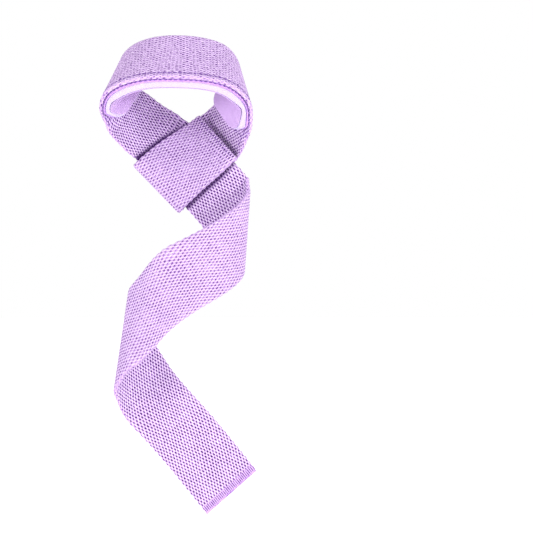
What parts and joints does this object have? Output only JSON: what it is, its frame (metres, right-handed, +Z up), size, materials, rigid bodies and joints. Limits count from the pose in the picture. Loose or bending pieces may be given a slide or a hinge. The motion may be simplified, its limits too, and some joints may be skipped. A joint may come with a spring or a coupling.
{
  "type": "padded wrist support strap",
  "caption": "Woven lifting strap with a padded wrist loop, a small sewn loop and a long hanging tail.",
  "frame": {"origin": "inside top of the padded wrist loop, on the lining, where the strap hangs on a wrist, hook or bar", "axes": "+Z up, against the way the strap hangs; -Y towards the viewer, out of the front of the wrist loop; +X to the viewer's right"},
  "size_m": [0.0888, 0.0646, 0.2728],
  "materials": {
    "webbing": "coarse woven cotton webbing, matte",
    "backing": "smooth knitted laminate, matte",
    "foam": "fine closed-cell foam, matte",
    "lining": "smooth knitted lining, soft sheen"
  },
  "bodies": {
    "root": {"strap": "webbing", "pad_backing": "backing", "pad_foam": "foam", "pad_lining": "lining"}
  },
  "joints": []
}
